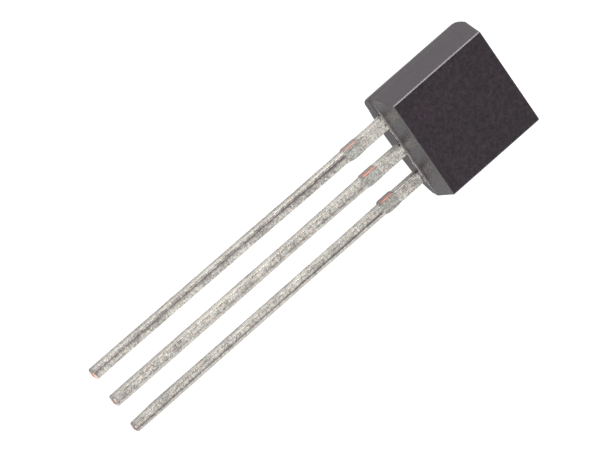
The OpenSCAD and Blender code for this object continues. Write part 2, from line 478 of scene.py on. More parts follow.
def body_half(body, leads, corner):
    """Right half of the moulding, as rings from the middle of the flat front to the line down its round back.

    Rings over the flat front grow from its middle. Rings round its edge turn from the front's normal to
    the walls'. Then come sections across the drafted front half, the straight wall and, turning with the
    half round, the back. corner is how much softer than the others the edge between the wall and the lead
    end is at the parting plane. Returns points and normals.
    """
    half = body.width / 2 - body.side_flash
    flat = half - body.side_edge
    borders = [leads.pitch + s * leads.neck_width / 2 for s in (-1, 1)] + [leads.neck_width / 2]
    gate = body.gate_width / 2
    by_leads = [(border - 0.05, border + 0.05, 0.007) for border in borders]
    by_gate = (0, gate, 0.02), (gate - 0.03, gate + 0.03, 0.006)
    by_wall = (flat - 0.02, flat, 0.01)
    across = spread((0, flat, 0.035), by_wall, *by_leads) / flat
    stations = across, spread((0, flat, 0.06), by_wall, *by_gate) / flat

    def drafted_ends(reach, y, tilt):
        """Corners and normals of the lead end and of the top end at each depth, both leaning by tilt."""
        low = np.stack([reach, y, y * math.tan(tilt)], -1)
        high = low * [1, 1, -1] + [0, 0, body.height]
        return (low, high), [np.tile([0, math.sin(tilt), s * math.cos(tilt)], (len(y), 1)) for s in (-1, 1)]

    def level(points, y, wall, end):
        """Slides a ring along the edge of its wall and end until all of it lies at one depth."""
        way = np.cross(wall, end)[:, None, :]
        return points + way * ((y[:, None] - points[..., 1]) / way[..., 1])[..., None]

    def flat_sections(y, wall, tilt, widening, radius):
        """Sections across a flat wall: widening is how much wider they get for each millimetre of depth."""
        corners, ends = drafted_ends(half + y * widening, y, tilt)
        walls = np.tile(wall, (len(y), 1))
        low_radius = radius + corner * step(y, -0.9 * body.front_depth, -0.1 * body.front_depth)
        radii = low_radius[:, None], radius[:, None]
        points, normals = half_rings(walls, corners, ends, radii, stations)
        lower, upper = (level(points, y, walls, end) for end in ends)
        middle = len(across) + len(EDGE_TURN) + (len(WALL_RISE) + 1) // 2
        return np.concatenate([lower[:, :middle], upper[:, middle:]], 1), normals

    # Drafted front half
    rim, draft = body.front_edge, body.front_draft
    first = -body.front_depth + rim * (1 - math.sin(draft))
    y = spread((first, -0.06, 0.07), (first, first + 0.03, 0.01), (-0.06, -0.03, 0.01), (-0.03, 0, 0.004))
    radius = np.interp(y, [first, 0], [rim + 0.006, body.side_edge])
    widening = math.tan(draft) - body.front_spare / body.front_depth
    sides = flat_sections(y, [math.cos(draft), -math.sin(draft), 0], -draft, widening, radius)

    # Softened edge of the flat front, from the first of those sections: a straight cut between a point on
    # the face and one on the wall, bulged by 1 - |t|^n. Along the sides the bulge is a low quartic that
    # runs smoothly into both faces. Along the ends it is nearly a triangle, so that edge stays crisp
    forward = np.array([0.0, -1, 0])
    wall_points, wall_normals = sides[0][:1], sides[1][:1]
    half_turn = np.arccos((wall_normals * forward).sum(-1, keepdims=True)) / 2
    between = forward + wall_normals
    between = between / np.linalg.norm(between, axis=-1, keepdims=True)
    rim_points = wall_points + rim * (forward - wall_normals)
    rim_points[..., 1] = -body.front_depth
    share = np.linspace(0, 1, 13)[:-1, None, None]
    crisp = np.abs(wall_normals[..., 2:])
    bulge = (0.42 + 1.5 * crisp) * (1 - np.abs(2 * share - 1) ** (4 - 2.7 * crisp))
    bulge = bulge * rim * (1 - np.cos(half_turn))
    edge_points = rim_points + share * (wall_points - rim_points) + bulge * between
    edge_normals = turned(np.broadcast_to(forward, wall_normals.shape), wall_normals, share)
    edge = edge_points, edge_normals

    # Flat front
    face_middle = np.array([0, -body.front_depth, body.height / 2])
    grow = np.append(np.linspace(0, 0.96, 25), 0.985)[:, None, None]
    face_points = face_middle + grow * (edge_points[:1] - face_middle)
    face = face_points, np.broadcast_to(forward, face_points.shape)

    # Straight wall
    y = spread((0, body.back_straight, 0.005))
    straight = flat_sections(y, [1.0, 0, 0], body.back_draft, 0, np.full(len(y), body.side_edge))

    # Half round, by the depth of its end line near the leads and by its angle further back
    lead_back = leads.setback + leads.thickness
    by_lead_back = (lead_back - 0.03, lead_back + 0.04, 0.006)
    y = spread((body.back_straight + 0.02, lead_back + 0.1, 0.014), by_lead_back)
    angles = np.arcsin((y - body.back_straight) / flat)
    angles = np.append(angles, np.linspace(angles[-1], math.pi / 2, 46)[1:])
    sine, cosine = np.sin(angles), np.cos(angles)
    y = body.back_straight + half * sine
    reach = (half + body.shoulder * np.sin(2 * angles)) * cosine
    radius = (body.side_edge + 0.03 * step(y, 1.4, 2.2))[:, None]
    radii = radius + corner * (1 - step(y, 0.5, 1.5))[:, None], radius
    walls = np.stack([cosine, sine, 0 * angles], -1)
    back = half_rings(walls, *drafted_ends(reach, y, body.back_draft), radii, stations)

    return tuple(np.concatenate(parts) for parts in zip(face, edge, sides, straight, back))


def swell_ends(points, normals, body):
    """Moves both ends out of their drafted planes, and lets the whole skin wander a little below its plan.

    The ends' swell fades at the walls and at the flat front, and is less at the very back. It is 1.3
    times as high at the top end as at the front of the lead end, where it grows over the back half and
    towards the left.
    """
    wander, sunk = 0.001, 0.003
    upward = normals[..., 2]
    proud = body.swell * step(np.abs(upward), 0.05, 0.65) * (1 - 0.4 * step(points[..., 1], 1.7, 2.2))
    rearward = bump(points[..., 1], 0.5, 1.5, 0.4) * (1 - 0.25 * points[..., 0])
    proud = proud * np.where(upward < 0, 1 + 1.3 * rearward, 1.3)
    points = points + normals * (wander * ripple(points, 0.9, 1) - sunk)[..., None]
    return moved(points, 2, proud * np.sign(upward))


def add_flash(points, normals, body):
    """Raises the parting line: a fin of uneven height across the lead end, and a low ridge elsewhere.

    The fin's height is its full height times smooth noise, and falls to nothing towards both walls. The
    ridge on the walls lies further back than the fin. Returns the points, and a mask of resin and painted
    light:
    all of the fin as resin, a paler bell curve to either side of it as painted light that lifts the shade at
    its foot, and a thin painted sheen over the front half of the lead end, denser towards the left, that
    stands in for its reflection.
    """
    x, y, z = np.moveaxis(points, -1, 0)
    facing_down = step(-normals[..., 2], 0.3, 0.9)
    facing_up = step(normals[..., 2], 0.3, 0.9)
    along = points * [1, 0, 1]
    fade = step(x, -2.1, -1.5) * (1 - step(x, 1.45, 1.98))
    fin = body.flash * (0.88 + 0.18 * ripple(along, 0.5, 3) + 0.12 * ripple(along, 0.12, 5)) * fade
    dashes = np.clip(0.5 + 0.9 * ripple(along, 0.55, 4), 0.08, 1) * (1 - 0.7 * step(z, 1.4, 2.6))
    ridge = body.side_flash * dashes
    height = ridge + (fin - ridge) * facing_down + 0.4 * ridge * facing_up
    on_wall = (1 - facing_down) * (1 - facing_up)
    middle = 0.004 * ripple(along, 0.4, 6) + body.side_line * on_wall
    profile = bump(y - middle, -0.010, 0.009, 0.008)
    chips = 0.75 + 0.5 * ripple(along, 0.10, 7)
    on_fin = profile**3 * np.clip(fin / body.flash, 0, 1) * np.clip(chips, 0.2, 1)
    # Painted light: a paler bell curve beside the fin that lifts the shade at its foot
    painted_foot_light = 0.24 * np.exp(-(((y - middle + 0.015) / 0.06) ** 2)) * fade
    # Painted sheen: a paler film over the front half of the lead end, denser at the left, standing in for its
    # reflection
    painted_sheen = (0.018 + 0.022 * (1 - step(x, -2.1, -1.2))) * step(-y, 0.0, 0.08)
    resin_and_sheen = (0.70 * np.maximum(on_fin, painted_foot_light) + painted_sheen) * facing_down
    resin_and_sheen = resin_and_sheen + (1 - facing_down) * 0.09 * dashes * profile
    points = points + normals * (height * profile)[..., None]
    points[..., 0] = np.clip(points[..., 0], -body.width / 2, body.width / 2)
    return points, resin_and_sheen


def sink_wells(points, normals, leads):
    """Opens a close, ragged well round each lead. Returns the points, and how far each lies in one.

    The finish darkens each point by that share, almost to black, as painted shade in the well.
    """
    gap, soft, depth = 0.006, 0.006, 0.3
    x, y = points[..., 0], points[..., 1]
    well_and_shade = np.zeros_like(x)
    for index, centre in enumerate((-leads.pitch, 0, leads.pitch)):
        left, right = TRIMS[index]["root"]
        loose = gap + 0.012 * np.clip(ripple(points, 0.2, 40 + index), 0, 1)
        inside = bump(x - centre, left - loose, right + loose, soft)
        inside = inside * bump(y, leads.setback - 0.001, leads.setback + leads.thickness + loose, soft)
        well_and_shade = np.maximum(well_and_shade, inside)
    well_and_shade = well_and_shade * step(-normals[..., 2], 0.8, 0.95)
    return moved(points, 2, depth * well_and_shade), well_and_shade


def break_gate(points, normals, body):
    """Raises the gate mark on the top end, with a rough broken face."""
    x, y, z = np.moveaxis(points, -1, 0)
    wander = 0.006 * ripple(points, 0.25, 8)
    inside = bump(np.abs(x) + wander, 0, body.gate_width / 2 - 0.012, 0.01)
    inside = inside * bump(y + wander, 0.004, body.gate_thickness - 0.014, 0.01)
    inside = inside * step(normals[..., 2], 0.8, 0.95)
    broken = 0.5 + 0.3 * ripple(points, 0.16, 9) + 0.2 * ripple(points, 0.06, 10)
    target = body.height + body.gate_proud * (1 - 0.35 * np.clip(broken, 0, 1))
    return moved(points, 2, (target - z) * inside)


def seat_front(points, body):
    """Draws the front half back a little, and moves it to the right in proportion to its depth."""
    points = moved(points, 1, -body.front_sunk / body.front_depth * np.minimum(points[..., 1], 0))
    return moved(points, 0, body.front_shift * np.clip(-points[..., 1] / body.front_depth, 0, 1))


def edge_highlight_and_wear(points, normals):
    """How much painted highlight and wear each point gets: most along the flat front's left edge, and barely
    along most others.

    An edge is where no axis is close to the normal, and the share falls off towards each face. The flat
    front's lower edge gets it too, and so does the left edge of the lead end near the parting plane. The
    finish pales these edges as a painted highlight and makes them rougher as wear.
    """
    to_left, forward, down = (step(-normals[..., i], 0.2, 0.5) for i in range(3))
    edge = 1 - step(np.abs(normals).max(-1), 0.90, 0.985)
    corner = to_left * down * step(points[..., 1], -0.8, -0.3) * (1 - step(points[..., 1], 0.0, 0.2))
    lower = step(-normals[..., 1], 0.2, 0.4) * step(-normals[..., 2], 0.5, 0.75)
    lit_and_worn = np.maximum.reduce([0.40 * to_left * forward, 0.20 * corner, 0.24 * lower])
    return edge * np.maximum(lit_and_worn, 0.03)


def moulding_finish(body):
    """Black epoxy compound: mottled filler, dusty clouds, worn edges painted paler as a highlight, paler
    resin with painted light and sheen beside it, and lead wells painted dark as shade.
    """
    finish = Finish("moulding_compound", IOR=1.525)
    step, band, noise = finish.step, finish.band, finish.noise
    x, y, z = finish.axes(finish.place)
    resin_and_sheen, well_and_shade, edge = (finish.mask(name) for name in ("resin_and_sheen", "well_and_shade", "edge"))
    grain = noise(0.075, 3, 0.7)
    mottle = noise(0.17, 3, 0.6)
    cloud = noise(0.7, 2)
    on_side = step(abs(x), 1.98, 2.10)
    tone = 1.0 + (1.9 + 13.0 * on_side) * (grain - 0.5) + 1.9 * (mottle - 0.5) + 1.2 * (cloud - 0.5)
    warm, cool = (tinted(body.compound, gains) for gains in ((1.08, 0.94, 0.90), (0.92, 1.05, 1.10)))
    base = finish.mix(step(noise(0.10, 2), 0.32, 0.68), warm, cool)
    base = finish.shade(base, finish.math("MAXIMUM", tone, 0.4))
    # Painted highlight: the edge mask pales the edges towards the flash resin colour
    painted_edge_highlight = edge * (0.16 + 0.24 * mottle + 0.20 * grain)
    # The resin mask also holds painted light at the fin's foot and a painted sheen on the lead end
    resin_and_sheen = resin_and_sheen * (0.6 + 0.8 * noise(0.07, 3))
    base = finish.mix(resin_and_sheen, finish.mix(painted_edge_highlight, base, body.resin_and_sheen), body.resin_and_sheen)
    # Painted shade: the lead wells are darkened almost to black
    finish.feed("Base Color", finish.shade(base, 1 - 0.95 * well_and_shade))

    # The back is duller than the front, and so are the strip beside the parting line and the lead end
    back = step(y, 0.0, 0.45) * (0.74 - 0.04 * band(z, 0.55, 4.0, 0.25))
    over_lead_end = z + math.tan(body.front_draft) * y
    lead_end = (1 - step(over_lead_end, 0.01, 0.04)) * (1 - step(y, -0.1, 0.0))
    roughness = body.gloss + 0.30 * (grain - 0.5) + 0.25 * (mottle - 0.5) + 0.36 * back
    roughness = roughness + 0.14 * on_side * band(y, 0.01, 0.13, 0.03) + 0.06 * lead_end
    finish.feed("Roughness", roughness + 0.15 * resin_and_sheen + 0.4 * well_and_shade + 0.5 * edge)
    finish.relief(0.6 * noise(0.05, 3, 0.65) + 0.4 * noise(0.14, 2), 0.0055)
    return finish


class OBJECT_OT_transistor_body(bpy.types.Operator):
    """Build the moulded body with its parting line, lead wells and gate mark"""

    bl_idname = "object.transistor_body"
    bl_label = "Moulded Body"

    def execute(self, context):
        body, leads = context.scene.transistor_body, context.scene.transistor_leads
        halves = (body_half(body, leads, corner) for corner in (body.right_corner, body.left_corner))
        points, normals = (joined(right, left) for right, left in zip(*halves))
        points = swell_ends(points, normals, body)
        edge = edge_highlight_and_wear(points, normals)
        points, resin_and_sheen = add_flash(points, normals, body)
        points, well_and_shade = sink_wells(points, normals, leads)
        points = seat_front(break_gate(points, normals, body), body)
        piece = skin("body", points, masks={"resin_and_sheen": resin_and_sheen, "well_and_shade": well_and_shade, "edge": edge})
        dress(piece, moulding_finish(body), "moulded_body")
        return {"FINISHED"}


# Leads


# Each lead from the left one to the right one, as trimmed, in millimetres from the lead's own middle: how far
# its left and right edge are rounded off at the tip, where those edges lie along the shank at the heights of
# "at", and where at the stub, the neck and the root. Then the crease that its front face rolls off beside, as
# a share of the way from the middle to an edge, and how far the face has sunk at that edge
TRIMS = (
    {
        "tip": (0.08, 0.12), "at": (-14.4, -13.6, -6.5, -4.4, -2.9, -2.1),
        "left": (-0.200, -0.204, -0.202, -0.194, -0.205, -0.211),
        "right": (0.200, 0.190, 0.200, 0.215, 0.217, 0.220),
        "stub": (-0.252, 0.296), "neck": (-0.233, 0.274), "root": (-0.264, 0.276), "roll": (-0.42, 0.012),
    },
    {
        "tip": (0.04, 0.10), "at": (-14.35, -13.6, -8.0, -5.0, -3.4, -2.1),
        "left": (-0.213, -0.216, -0.220, -0.206, -0.220, -0.230),
        "right": (0.196, 0.203, 0.196, 0.185, 0.202, 0.207),
        "stub": (-0.270, 0.254), "neck": (-0.252, 0.235), "root": (-0.246, 0.236), "roll": (0.34, 0.012),
    },
    {
        "tip": (0.06, 0.07), "at": (-14.3, -13.2, -9.0, -6.0, -3.4, -2.1),
        "left": (-0.145, -0.194, -0.190, -0.192, -0.197, -0.215),
        "right": (0.196, 0.202, 0.191, 0.188, 0.200, 0.200),
        "stub": (-0.296, 0.254), "neck": (-0.252, 0.226), "root": (-0.250, 0.222), "roll": (0.26, 0.018),
    },
)

# Inside the body, in millimetres: the heights between which the ears lie and over which the pad and the
# posts' heads widen, how far ears and heads stand out, and how far the pad stays clear of its neighbours
EARS, EAR_REACH = (0.555, 0.945), 0.12
PAD_WIDENS, PAD_GAP = (1.50, 1.75), 0.25
HEAD_WIDENS, HEAD_REACH = (1.75, 2.01), 0.26
PAD_TOP, POST_TOP, TOP_ROUND = 3.62, 2.60, 0.05

CORNER = 0.06  # share of the way round a lead that its rounded corner takes on either side of an edge


def lead_heights(side, leads):
    """Heights of a lead's tip and of the lower and upper edge of its stub. side is -1, 0 or 1."""
    stub_top = -leads.neck_length
    return -leads.length + side * leads.trim_skew / 2, stub_top - leads.stub_height, stub_top


def lead_edges(z, side, leads):
    """Left and right edge of a lead at each height z, measured from the lead's own middle.

    Along the shank both edges run straight from one trimmed place to the next. Smooth steps take them out
    to the stub, in to the neck and on to the root and the plain neck width inside the body, the left one
    over shorter runs than the right one. The locking ears stand out from there, and so does the head on
    an outer lead's outer side, or the centre lead's pad.
    """
    trim = TRIMS[side + 1]
    tip, low, high = lead_heights(side, leads)
    into_stub = step(z, low - 0.03, low + 0.09), step(z, low - 0.10, low + 0.28)
    into_neck = step(z, high - 0.08, high + 0.03), step(z, high - 0.22, high + 0.06)
    into_root, into_body = step(z, -0.5, -0.1), step(z, 0, 0.1)
    lean = -leads.splay * np.clip((z - low) / (tip - low), 0, 1) * (side < 0)
    edges = []
    for end, (name, sign) in enumerate((("left", -1), ("right", 1))):
        edge = np.interp(z, trim["at"], trim[name])
        for reach, into in (
            (trim["stub"][end], into_stub[end]),
            (trim["neck"][end], into_neck[end]),
            (trim["root"][end], into_root),
            (sign * leads.neck_width / 2, into_body),
        ):
            edge = edge + (reach - edge) * into
        out = EAR_REACH * bump(z, *EARS, 0.005)
        if side == 0:
            out = out + np.interp(z, PAD_WIDENS, [0, leads.pitch - leads.neck_width - PAD_GAP])
        elif side == sign:
            out = out + np.interp(z, HEAD_WIDENS, [0, HEAD_REACH])
        edges.append(edge + sign * out + lean)
    return edges


def rounded_end(end, inwards, radius):
    """Rings of a lead's end, from its middle outwards: their height, inset of the sides and share closed.

    The flat end grows from a point, and a quarter round turns from its rim into the sides. inwards is 1
    where the lead goes up from its end and -1 where it goes down.
    """
    closed = np.linspace(1, 0, 6)[:-1]
    turn = np.linspace(0, math.pi / 2, 7)[:-1]
    depth = np.append(0 * closed, radius * (1 - np.cos(turn)))
    inset = np.append(0 * closed + radius, radius * (1 - np.sin(turn)))
    return np.stack([end + inwards * depth, inset, np.append(closed, 0 * turn)])


def lead_grid(side, leads):
    """A lead as rings round its section, from the middle of its tip to the middle of its inner end.

    Each ring is a rounded rectangle at one height: half the back, a corner, a side, a corner, the front
    face, and back again. The cut at the tip leans back a little. Returns points, and the share of the way
    round: 0 is the middle of the front, 1 its edge, 2 the back's edge and 3 the back's middle, with the
    sign of the side.
    """
    tip, low, high = lead_heights(side, leads)
    top = PAD_TOP if side == 0 else POST_TOP
    ear_runs = [(ear - 0.005, ear + 0.005, 0.005) for ear in EARS]
    z = spread(
        (tip + 0.06, low - 0.1, 0.045),
        (low - 0.1, low + 0.12, 0.012),
        (low + 0.12, high - 0.1, 0.035),
        (high - 0.1, high + 0.06, 0.012),
        (high + 0.06, 0.1, 0.035),
        (0.1, EARS[0] - 0.005, 0.15),
        (EARS[0] + 0.005, EARS[1] - 0.005, 0.1),
        *ear_runs,
        (EARS[1] + 0.005, PAD_WIDENS[0], 0.15),
        (PAD_WIDENS[0], HEAD_WIDENS[1], 0.05),
        (HEAD_WIDENS[1], top - TOP_ROUND, 0.1),
    )
    tip_end = rounded_end(tip, 1, leads.tip_round)
    top_end = rounded_end(top, -1, TOP_ROUND)[:, ::-1]
    stations, inset, closed = np.concatenate([tip_end, [z, 0 * z, 0 * z], top_end], 1)

    left, right = lead_edges(np.clip(stations, tip + 0.001, top - 0.001), side, leads)
    left_round, right_round = (reach / leads.tip_round for reach in TRIMS[side + 1]["tip"])
    left, right = left + inset * left_round, right - inset * right_round
    front, back = leads.setback + 0.6 * inset, leads.setback + leads.thickness - 0.6 * inset
    middle_x, middle_y = (left + right) / 2, (front + back) / 2
    keep = 1 - closed
    left, right = (middle_x + (edge - middle_x) * keep for edge in (left, right))
    front, back = (middle_y + (face - middle_y) * keep for face in (front, back))
    radius = np.minimum(leads.edge * keep, 0.49 * np.minimum(right - left, back - front))

    # Right and left half of each ring, from the middle of the back to the middle of the front, as x, y and
    # the share of the way round
    turn, half_back, flank, half_front = (np.linspace(0, 1, count) for count in (7, 9, 13, 14))
    sine, cosine = np.sin(turn * math.pi / 2), np.cos(turn * math.pi / 2)
    m, f, b, e = (each[:, None] for each in (middle_x, front, back, radius))
    halves = []
    for sign, edge in ((1, right[:, None]), (-1, left[:, None])):
        inner = edge - sign * e
        runs = (
            (m + (inner - m) * half_back, b, 3 - half_back),
            (inner + sign * e * sine, b - e + e * cosine, 2 + CORNER - 2 * CORNER * turn),
            (edge, b - e + (f - b + 2 * e) * flank, 2 - CORNER - (1 - 2 * CORNER) * flank),
            (inner + sign * e * cosine, f + e - e * sine, 1 + CORNER - 2 * CORNER * turn),
            (inner + (m - inner) * half_front, f, (1 - CORNER) * (1 - half_front)),
        )
        half = np.concatenate([np.broadcast_arrays(*run) for run in runs], -1)
        halves.append(half * np.array([1, 1, sign])[:, None, None])
    x, y, around = np.concatenate([halves[0], halves[1][..., -2::-1]], -1)
    lean = 0.01 * (y - leads.setback) / leads.thickness
    heights = stations[:, None] + lean * (1 - step(stations, tip, tip + 0.3))[:, None]
    return np.stack([x, y, heights], -1), around


def roll_front(points, around, side, leads):
    """Rolls the front face off beside its crease, and lets the plating wander by a few microns."""
    z = points[..., 2]
    stub_bottom = lead_heights(side, leads)[1]
    crease, sunk = TRIMS[side + 1]["roll"]
    way = -1 if side < 0 else 1
    beyond = np.clip(way * (around - crease) / (1 - way * crease), 0, 1)
    groove = 0.005 * np.exp(-(((around - crease) / 0.06) ** 2))
    on_front = 1 - step(np.abs(around), 1.0, 1.3)
    shank = 1 - step(z, stub_bottom - 0.13, stub_bottom + 0.07)
    points = moved(points, 1, (sunk * beyond + groove) * on_front * shank)
    wander = 0.0035 * ripple(points * [1, 1, 0.5], 0.3, 20 + side) + 0.002 * ripple(points, 0.09, 30 + side)
    outside = 1 - step(z, -0.1, 0.05)
    toward_back = np.clip(np.abs(around) - 1, 0, 1)
    return moved(points, 1, np.abs(wander) * (1 - toward_back) * outside * (np.abs(around) < 1.5))


# The look of each lead from the left one to the right one. Across its front face, -1 is the left edge and 1
# the right one. Every number is added dullness unless it says otherwise
#   base: of the whole lead; edge: of its front's left edge, as painted shade that dims its highlight; side:
#       of the back of its two sides
#   crease shades: painted shade in dark lines along the front, as middle, half width, how softly they end,
#       and dullness
#   strip: how much smoother and brighter the right part of the front is, as a share
#   stub: of the stub; stub_crease: of a line down the stub's front, as middle and dullness
#   fracture, copper: shares of the sheared stub that show the dull fracture and, before it, bare copper
#   neck, neck_side, neck_edge, neck_left: of the neck's front, sides, left edge and left part
#   cut: brightness of the trimmed tip, and where across the lead it starts, in millimetres
#   root dark: a dark, non-metal colour on the root, between two places round the lead, and its density
#   blot: a dark spot on the root's left side, as depth and height of its middle, half its sizes, and density
PLATING = (
    {
        "base": 0.27, "edge": 0.44, "side": 0.42, "strip": 0.0,
        "crease_shades": ((-0.38, 0.05, 0.15, 1.15), (-0.30, 0.24, 0.40, 0.65)),
        "stub": 0.12, "stub_crease": (-0.54, 0.50), "fracture": 0.45, "copper": 0.70,
        "neck": -0.20, "neck_side": -0.32, "neck_edge": 0.05, "neck_left": 0.0,
        "cut": (1.15, -0.12), "root_dark": (0.05, 0.35, 0.9), "blot": (0.06, -0.150, 0.06, 0.050, 0.75),
    },
    {
        "base": 0.19, "edge": 0.38, "side": 0.16, "strip": 0.60,
        "crease_shades": ((0.28, 0.10, 0.30, 0.58),),
        "stub": 0.26, "stub_crease": (-0.85, 0.38), "fracture": 0.75, "copper": 0.90,
        "neck": -0.06, "neck_side": 0.16, "neck_edge": 0.26, "neck_left": 0.30,
        "cut": (0.62, -0.11), "root_dark": (0.35, 1.30, 0.6), "blot": (0.09, -0.110, 0.09, 0.058, 0.95),
    },
    {
        "base": 0.25, "edge": 0.44, "side": 0.20, "strip": 0.75,
        "crease_shades": ((0.24, 0.06, 0.14, 1.00), (0.16, 0.14, 0.30, 0.70)),
        "stub": 0.32, "stub_crease": (0.72, 0.40), "fracture": 1.0, "copper": 0.76,
        "neck": 0.0, "neck_side": 0.36, "neck_edge": -0.30, "neck_left": 0.0,
        "cut": (0.48, -0.05), "root_dark": (-1.30, 1.30, 0.8), "blot": (0.14, -0.160, 0.12, 0.082, 0.95),
    },
)


def tin_finish(name, side, leads):
    """Matte tin over copper: mottled grains, dull specks, painted shade along the creases, bare copper on
    sheared faces.
    """
    finish = Finish(name, IOR=1.5)
    step, band, noise = finish.step, finish.band, finish.noise
    look = PLATING[side + 1]
    x, y, z = finish.axes(finish.place)
    around = finish.axes(finish.node("ShaderNodeUVMap", {"uv_map": "surface"}))[0]
    edge_wise = abs(around)
    tip, low, high = lead_heights(side, leads)
    shank = 1 - step(z, low - 0.15, low + 0.05)
    stub = band(z, low + 0.03, high - 0.03, 0.10)
    neck = step(z, high, high + 0.15)

    # Grain of the plating: fine speckles in clumps that run along the lead, smoother on the stub and tip
    fine = noise(0.050, 2, 0.75)
    grain = noise(0.10, 3, 0.65, finish.drawn_out(1.4))
    patch = noise(0.42, 3, 0.6, finish.drawn_out(2.0))
    even = 0.40 * stub + 0.5 * (1 - step(z, tip + 0.25, tip + 0.5))
    strip = step(around, 0.50, 0.75) * shank * look["strip"]
    grainy = (1 - even) * (1 - strip)
    specks = step(noise(0.09, 2), 0.60, 0.68) * step(patch, 0.44, 0.60)
    mottle = 3.8 * (fine - 0.5) + 2.1 * (grain - 0.5) + 2.0 * (patch - 0.5)
    dull = look["base"] - mottle * grainy + 0.25 * specks * grainy

    # Painted shade: dark lines along the front face where it rolls off, heavier towards the dam bar
    wander = 0.18 * (noise(0.8, 3) - 0.5) - 0.06 * (1 - step(z, -13.5, -10.5))
    broken = shank * (0.75 + 0.45 * step(z, -8.0, -3.5)) * (0.25 + 1.5 * noise(0.15, 3, 0.6))
    crease_shades = 0
    for middle, width, soft, strength in look["crease_shades"]:
        crease_shades = crease_shades + band(around + wander, middle - width, middle + width, soft) * strength
    crease_shades = crease_shades * broken

    # Duller or brighter edges and sides, neck and stub, and a duller tip
    # Painted shade: the front's left edge is darkened to dim its highlight; the roughness below also raises
    # it
    edges = band(around, -1.12, -0.84, 0.10) * (look["edge"] + look["neck_edge"] * neck)
    sides = band(edge_wise, 1.55, 1.85, 0.30) * look["side"]
    sides = sides - (0.10 + 0.22 * shank) * (1 - stub) * band(edge_wise, 1.05, 1.40, 0.15)
    on_neck = band(edge_wise, 1.1, 2.2, 0.1) * look["neck_side"]
    on_neck = on_neck + (1 - step(edge_wise, 1.0, 1.1)) * look["neck"]
    on_neck = on_neck + look["neck_left"] * (1 - step(around, -0.7, 0.1)) * step(around, -0.85, -0.6)
    middle, strength = look["stub_crease"]
    on_stub = look["stub"] + strength * band(around, middle - 0.06, middle + 0.06, 0.15)
    near_tip = 0.14 * (1 - step(z, -12.5, -9.5)) + 0.45 * (1 - step(z, tip + 0.04, tip + 0.20))
    front = 0.08 * (1 - step(edge_wise, 0.95, 1.05))
    dull = dull + crease_shades + edges + sides + on_neck * neck + on_stub * stub + near_tip + front - 0.15 * strip
    warm, cool = (tinted(leads.tin, gains) for gains in ((1.045, 0.98, 0.97), (0.955, 1.015, 1.02)))
    bright = finish.mix(step(noise(0.13, 2), 0.35, 0.65) + 0.7 * stub, warm, cool)
    tin = finish.mix(step(dull, -0.60, 1.40), bright, leads.tarnish_and_shade)
    tin = finish.mix(0.75 * step(dull, 1.25, 2.40), tin, leads.grime_and_shade)

    # Sheared stub: bare copper next to the front face, a dull fracture behind it and at its slanted ends
    ragged = 0.14 * (noise(0.07, 3) - 0.5)
    slanted = z + 0.10 * (edge_wise - 1)
    sheared = band(z, low + 0.04, high - 0.04, 0.03)
    on_strip = band(slanted + 1.6 * ragged, low + 0.12, high - 0.08, 0.04)
    left = band(1.5 * ragged - around, 0.955, 1.42, 0.10)
    right = band(ragged + around, 1.12, 1.42, 0.08)
    bare = (left + right) * on_strip * (0.72 + 3.0 * (noise(0.06, 2) - 0.5)) * look["copper"]
    fracture = band(edge_wise + ragged, 1.04, 2.05, 0.05) * sheared * look["fracture"]
    colour = finish.mix(fracture, tin, tinted(leads.tarnish_and_shade, (0.9, 0.9, 0.9)))
    colour = finish.mix(bare, colour, leads.copper)

    # Trimmed tip: copper under a fifth of smeared tin
    uneven = noise(0.12, 2) - 0.5
    brightness, start = look["cut"]
    across = x - side * leads.pitch + (leads.splay if side < 0 else 0.0) + ragged
    cut = (1 - step(z + 0.03 * ragged, tip + 0.015, tip + 0.045)) * step(across, start - 0.04, start + 0.04)
    smeared = [0.8 * copper + 0.2 * tin for copper, tin in zip(leads.copper, leads.tin)]
    colour = finish.mix(cut * 0.8, colour, finish.shade(smeared, brightness * (1.0 + uneven)))

    # Dark, non-metal marks on the root next to the body
    first, last, strength = look["root_dark"]
    root_dark = step(z + 0.12 * uneven, -0.19, -0.14) * band(around + uneven, first, last, 0.15) * strength
    depth, up, wide, tall, strength = look["blot"]
    off_depth, off_up = (y - depth) / wide, (z - up) / tall
    blot = 1 - step(off_depth * off_depth + off_up * off_up + uneven, 0.6, 1.1)
    root_dark = finish.math("MAXIMUM", root_dark, blot * band(around, -1.9, -0.98, 0.04) * strength)
    root_dark = root_dark * (1 - step(z, 0.1, 0.2))
    finish.feed("Base Color", finish.mix(root_dark, colour, leads.root_dark_colour))
    finish.feed("Roughness", 0.53 + 0.3 * (fine - 0.5) + 0.12 * crease_shades + 0.40 * edges - 0.08 * strip)
    finish.feed("Metallic", 1 - 0.9 * root_dark)
    finish.relief(0.6 * fine + 0.4 * noise(0.2, 2), 0.010)
    return finish


class OBJECT_OT_transistor_leads(bpy.types.Operator):
    """Build the three leads with their dam bar stubs, locking ears, posts and pad"""

    bl_idname = "object.transistor_leads"
    bl_label = "Leads"

    def execute(self, context):
        leads = context.scene.transistor_leads
        for side, node in ((-1, "left_lead"), (0, "centre_lead"), (1, "right_lead")):
            points, around = lead_grid(side, leads)
            points = moved(roll_front(points, around, side, leads), 0, side * leads.pitch)
            piece = skin(node.replace("_lead", "_tinned_lead"), points, around, points[..., 2])
            dress(piece, tin_finish(node + "_tin", side, leads), node)
        return {"FINISHED"}


# Inside the body


def silicon_finish(inside):
    """Polished chip with two bright bond pads on its face."""
    finish = Finish("chip_silicon", Roughness=0.12, Metallic=0.3)
    x, _, z = finish.axes(finish.place)
    pads = finish.band(abs(x), 0.07, 0.19, 0.004) * finish.band(z, 2.60, 2.76, 0.01)
    finish.feed("Base Color", finish.mix(pads, inside.silicon, inside.pads))
    return finish


